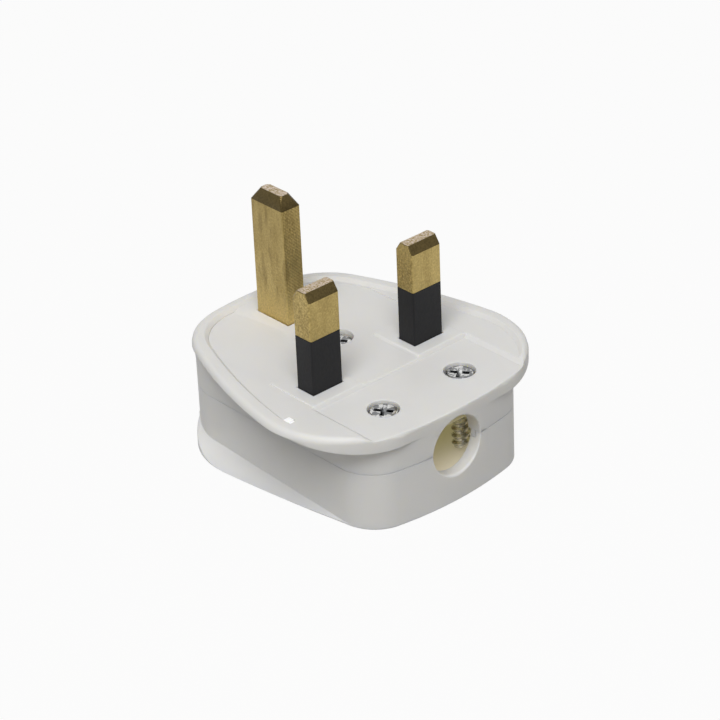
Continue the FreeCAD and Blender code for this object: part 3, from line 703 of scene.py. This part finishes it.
def screw_head(settings, x, y, top, radius):
    """Domed head with a tapered cross recess."""
    depth = settings.head_height
    bm = bmesh.new()
    bmesh.ops.create_cone(
        bm,
        cap_ends=True,
        segments=settings.steps,
        radius1=radius,
        radius2=radius,
        depth=depth,
        matrix=Matrix.Translation((x, y, top - depth / 2)),
    )
    rim = [edge for edge in bm.edges if all(vert.co.z > top - depth / 2 for vert in edge.verts)]
    round_edges(bm, rim, settings.dome, DOME_SEGMENTS)
    cross = bmesh.new()
    bmesh.ops.create_grid(cross, x_segments=3, y_segments=3, size=1)
    corners = [face for face in cross.faces if min(abs(c) for c in face.calc_center_median().xy) > 0.5]
    bmesh.ops.delete(cross, geom=corners, context="FACES")
    for vert in cross.verts:
        for i in range(2):
            reach = settings.recess_span if abs(vert.co[i]) > 0.5 else settings.recess_width
            vert.co[i] = math.copysign(reach / 2, vert.co[i])
    bmesh.ops.translate(cross, verts=cross.verts, vec=(0, 0, RECESS_OVER))
    floor = bmesh.ops.extrude_face_region(cross, geom=list(cross.faces))["geom"]
    floor = [item for item in floor if isinstance(item, bmesh.types.BMVert)]
    bmesh.ops.translate(cross, verts=floor, vec=(0, 0, -settings.recess_depth - RECESS_OVER))
    bmesh.ops.scale(cross, verts=floor, vec=(RECESS_TAPER, RECESS_TAPER, 1))
    turn = Matrix.Rotation(RECESS_TURN, 3, "Z")
    bmesh.ops.rotate(cross, verts=cross.verts, cent=(0, 0, 0), matrix=turn)
    bmesh.ops.translate(cross, verts=cross.verts, vec=(x, y, top))
    bmesh.ops.recalc_face_normals(cross, faces=cross.faces)
    return carved(bm, cross)


def screw_shank(settings, x, y, seat, tip):
    """Threaded shank that runs to a point."""
    pitch = settings.pitch
    radius = settings.shank_radius
    depth = settings.thread_depth
    bm = bmesh.new()
    line = []
    for out, rise in THREAD_PROFILE:
        line.append(bm.verts.new((x + radius - depth * (1 - out), y, tip + pitch * rise)))
    edges = [bm.edges.new(pair) for pair in zip(line, line[1:])]
    turns = math.ceil((seat - tip) / pitch)
    bmesh.ops.spin(
        bm,
        geom=line + edges,
        cent=(x, y, 0),
        axis=(0, 0, 1),
        dvec=(0, 0, pitch / settings.steps),
        angle=2 * math.pi * turns,
        steps=settings.steps * turns,
        use_merge=False,
    )
    bmesh.ops.remove_doubles(bm, verts=bm.verts, dist=MERGE)
    everything = list(bm.verts) + list(bm.edges) + list(bm.faces)
    bmesh.ops.bisect_plane(
        bm, geom=everything, plane_co=(0, 0, seat), plane_no=(0, 0, 1), clear_outer=True
    )
    for vert in bm.verts:
        share = min(1, (vert.co.z - tip) / settings.point)
        vert.co.x = x + (vert.co.x - x) * share
        vert.co.y = y + (vert.co.y - y) * share
    bmesh.ops.remove_doubles(bm, verts=bm.verts, dist=MERGE)
    open_edges = [edge for edge in bm.edges if edge.is_boundary]
    ends = bmesh.ops.holes_fill(bm, edges=open_edges, sides=0)
    bmesh.ops.triangulate(bm, faces=ends["faces"])
    bmesh.ops.recalc_face_normals(bm, faces=bm.faces)
    return bm


def join(parts):
    """One bmesh from several."""
    whole = bmesh.new()
    for part in parts:
        mesh = bpy.data.meshes.new("part")
        part.to_mesh(mesh)
        part.free()
        whole.from_mesh(mesh)
        bpy.data.meshes.remove(mesh)
    return whole


def show(nodes, material):
    """Dresses CAD nodes that keep their own shape."""
    for node in nodes:
        obj = NODES[node]
        obj.data.materials.clear()
        obj.data.materials.append(material)


# Operators

class PLUG_OT_housing(bpy.types.Operator):
    """Make the base and cover mouldings with softly rounded edges"""

    bl_idname = "plug.housing"
    bl_label = "Housing"

    def execute(self, context):
        settings = context.scene.plug_housing
        material = plastic_finish(settings)
        for node in ("base", "cover"):
            bm = solid_copy(node)
            if node == "base":
                run_out_chin(bm)
            round_edges(bm, sharp_edges(bm, on_the_outside), settings.edge)
            outer = piece(node + "_moulding", bm, material)
            even_normals(outer)
            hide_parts(node)
        return {"FINISHED"}


class PLUG_OT_pins(bpy.types.Operator):
    """Make the brass pins and the black sleeves on two of them"""

    bl_idname = "plug.pins"
    bl_label = "Pins"

    def execute(self, context):
        settings = context.scene.plug_pins
        sleeve = sleeve_finish(settings)
        earth = brass_finish("earth_brass", settings, "Y", hatched=True)
        power = brass_finish("power_brass", settings, "X")
        for node, material, slot in (
            ("earth_pin", earth, "brass"),
            ("line_pin", power, "brass"),
            ("neutral_pin", power, "brass"),
            ("line_pin_sleeve", sleeve, "sleeve"),
            ("neutral_pin_sleeve", sleeve, "sleeve"),
        ):
            bm = solid_copy(node)
            round_edges(bm, sharp_edges(bm, on_a_pin), settings.edge)
            pin = piece(node + "_soft", bm, material)
            even_normals(pin)
            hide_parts(node)
        return {"FINISHED"}


class PLUG_OT_screws(bpy.types.Operator):
    """Make the cross-headed screws in the pin face"""

    bl_idname = "plug.screws"
    bl_label = "Screws"

    def execute(self, context):
        settings = context.scene.plug_screws
        material = steel_finish(settings)
        for node in FACE_SCREWS:
            low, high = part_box(node)
            y = (low.y + high.y) / 2
            radius = (high.y - low.y) / 2
            places = [low.x + radius]
            if high.x - low.x > PAIR_SPAN * radius:
                places.append(high.x - radius)
            parts = []
            for x in places:
                parts.append(screw_head(settings, x, y, high.z, radius))
                parts.append(screw_shank(settings, x, y, high.z - settings.head_height, low.z))
            screws = piece(node + "_cut", join(parts), material)
            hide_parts(node)
        return {"FINISHED"}


class PLUG_OT_fittings(bpy.types.Operator):
    """Dress the fuse, clips, terminals and cord clamp inside the housing"""

    bl_idname = "plug.fittings"
    bl_label = "Inner fittings"

    def execute(self, context):
        pins = context.scene.plug_pins
        show(INNER_BRASS, brass_finish("fitting_brass", pins, "X"))
        show(INNER_PLATED, bpy.data.materials["plated_steel"])
        show(("fuse_tube",), ceramic_finish())
        show(("cord_clamp_bar",), bpy.data.materials["white_moulding"])
        return {"FINISHED"}


class PLUG_OT_stage(bpy.types.Operator):
    """Set the pale floor, the soft studio light and the camera"""

    bl_idname = "plug.stage"
    bl_label = "Stage"

    def execute(self, context):
        settings = context.scene.plug_stage
        context.scene.view_settings.view_transform = "Standard"
        self.floor(context, settings)
        self.world(context, settings)
        self.lamps(context, settings)
        self.camera(context, settings)
        return {"FINISHED"}

    @staticmethod
    def seen_directly(tree):
        """Mask that is 1 where a camera, glossy or transmission ray meets the surface."""
        path = tree.nodes.new("ShaderNodeLightPath")
        mask = path.outputs["Is Camera Ray"]
        for label in ("Is Glossy Ray", "Is Transmission Ray"):
            either = tree.nodes.new("ShaderNodeMath")
            either.operation = "MAXIMUM"
            tree.links.new(mask, either.inputs[0])
            tree.links.new(path.outputs[label], either.inputs[1])
            mask = either.outputs[0]
        return mask

    def floor(self, context, settings):
        """Round floor under the cover, seen as near white."""
        place = Matrix.Translation((0, 0, COVER_BOX[0].z))
        bm = bmesh.new()
        bmesh.ops.create_circle(
            bm, cap_ends=True, segments=FLOOR_SIDES, radius=FLOOR_RADIUS, matrix=place
        )
        mesh = bpy.data.meshes.new("floor")
        bm.to_mesh(mesh)
        bm.free()
        material = bpy.data.materials.new("pale_floor")
        material.use_nodes = True
        tree = material.node_tree
        tree.nodes.clear()
        output = tree.nodes.new("ShaderNodeOutputMaterial")
        paint = tree.nodes.new("ShaderNodeBsdfDiffuse")
        paint.inputs["Color"].default_value = (*settings.floor, 1)
        white = tree.nodes.new("ShaderNodeEmission")
        white.inputs["Strength"].default_value = 1
        share = tree.nodes.new("ShaderNodeMath")
        share.operation = "MULTIPLY"
        share.inputs[1].default_value = settings.whiteness
        blend = tree.nodes.new("ShaderNodeMixShader")
        tree.links.new(self.seen_directly(tree), share.inputs[0])
        tree.links.new(share.outputs[0], blend.inputs["Fac"])
        tree.links.new(paint.outputs[0], blend.inputs[1])
        tree.links.new(white.outputs[0], blend.inputs[2])
        tree.links.new(blend.outputs[0], output.inputs["Surface"])
        mesh.materials.append(material)
        floor = bpy.data.objects.new("floor", mesh)
        context.scene.collection.objects.link(floor)

    def world(self, context, settings):
        """Even light from all round, seen as white."""
        world = bpy.data.worlds.new("studio")
        world.use_nodes = True
        tree = world.node_tree
        tree.nodes.clear()
        output = tree.nodes.new("ShaderNodeOutputWorld")
        light = tree.nodes.new("ShaderNodeBackground")
        light.inputs["Strength"].default_value = settings.ambient
        white = tree.nodes.new("ShaderNodeBackground")
        for background in (light, white):
            background.inputs["Color"].default_value = (1, 1, 1, 1)
        blend = tree.nodes.new("ShaderNodeMixShader")
        tree.links.new(self.seen_directly(tree), blend.inputs["Fac"])
        tree.links.new(light.outputs[0], blend.inputs[1])
        tree.links.new(white.outputs[0], blend.inputs[2])
        tree.links.new(blend.outputs[0], output.inputs["Surface"])
        context.scene.world = world

    def lamps(self, context, settings):
        """One large soft light, aimed at the plug."""
        lamp = bpy.data.lights.new("soft_key", "AREA")
        lamp.shape = "DISK"
        lamp.size = KEY_SIZE
        lamp.energy = settings.key_power
        key = bpy.data.objects.new("soft_key", lamp)
        key.location = KEY_PLACE
        aim = -key.location
        key.rotation_euler = aim.to_track_quat("-Z", "Y").to_euler()
        context.scene.collection.objects.link(key)

    def camera(self, context, settings):
        """Camera turned round the middle of the pin face."""
        turn = math.radians(settings.azimuth)
        rise = math.radians(settings.elevation)
        tilt = math.radians(settings.roll)
        out = math.cos(rise)
        back = Vector((math.sin(turn) * out, -math.cos(turn) * out, math.sin(rise)))
        level = Vector((math.cos(turn), math.sin(turn), 0))
        steep = back.cross(level)
        right = level * math.cos(tilt) + steep * math.sin(tilt)
        up = steep * math.cos(tilt) - level * math.sin(tilt)
        data = bpy.data.cameras.new("portrait")
        data.sensor_width = SENSOR_WIDTH
        data.lens = settings.lens
        camera = bpy.data.objects.new("portrait", data)
        place = back * settings.distance - right * settings.aim_right - up * settings.aim_up
        camera.matrix_world = Matrix.Translation(place) @ Matrix((right, up, back)).transposed().to_4x4()
        context.scene.collection.objects.link(camera)
        context.scene.camera = camera


class VIEW3D_PT_plug(bpy.types.Panel):
    """Lists the plug's pieces and their settings"""

    bl_label = "Three Pin Plug"
    bl_space_type = "VIEW_3D"
    bl_region_type = "UI"
    bl_category = "Plug"

    def draw(self, context):
        for operator, group in PARTS:
            column = self.layout.column(align=True)
            column.operator(operator.bl_idname)
            if group:
                settings = getattr(context.scene, group)
                for prop in settings.bl_rna.properties:
                    if prop.identifier not in ("rna_type", "name"):
                        column.prop(settings, prop.identifier)


PARTS = (
    (PLUG_OT_stage, "plug_stage"),
    (PLUG_OT_housing, "plug_housing"),
    (PLUG_OT_pins, "plug_pins"),
    (PLUG_OT_screws, "plug_screws"),
    (PLUG_OT_fittings, None),
)
GROUPS = {
    "plug_stage": StageSettings,
    "plug_housing": HousingSettings,
    "plug_pins": PinSettings,
    "plug_screws": ScrewSettings,
}


def register():
    for name, group in GROUPS.items():
        bpy.utils.register_class(group)
        setattr(bpy.types.Scene, name, PointerProperty(type=group))
    for operator, _ in PARTS:
        bpy.utils.register_class(operator)
    bpy.utils.register_class(VIEW3D_PT_plug)


def unregister():
    bpy.utils.unregister_class(VIEW3D_PT_plug)
    for operator, _ in reversed(PARTS):
        bpy.utils.unregister_class(operator)
    for name, group in reversed(GROUPS.items()):
        delattr(bpy.types.Scene, name)
        bpy.utils.unregister_class(group)


def main():
    register()
    grain_group()
    bpy.ops.plug.stage()
    bpy.ops.plug.housing()
    bpy.ops.plug.pins()
    bpy.ops.plug.screws()
    bpy.ops.plug.fittings()


if __name__ == "__main__":
    main()
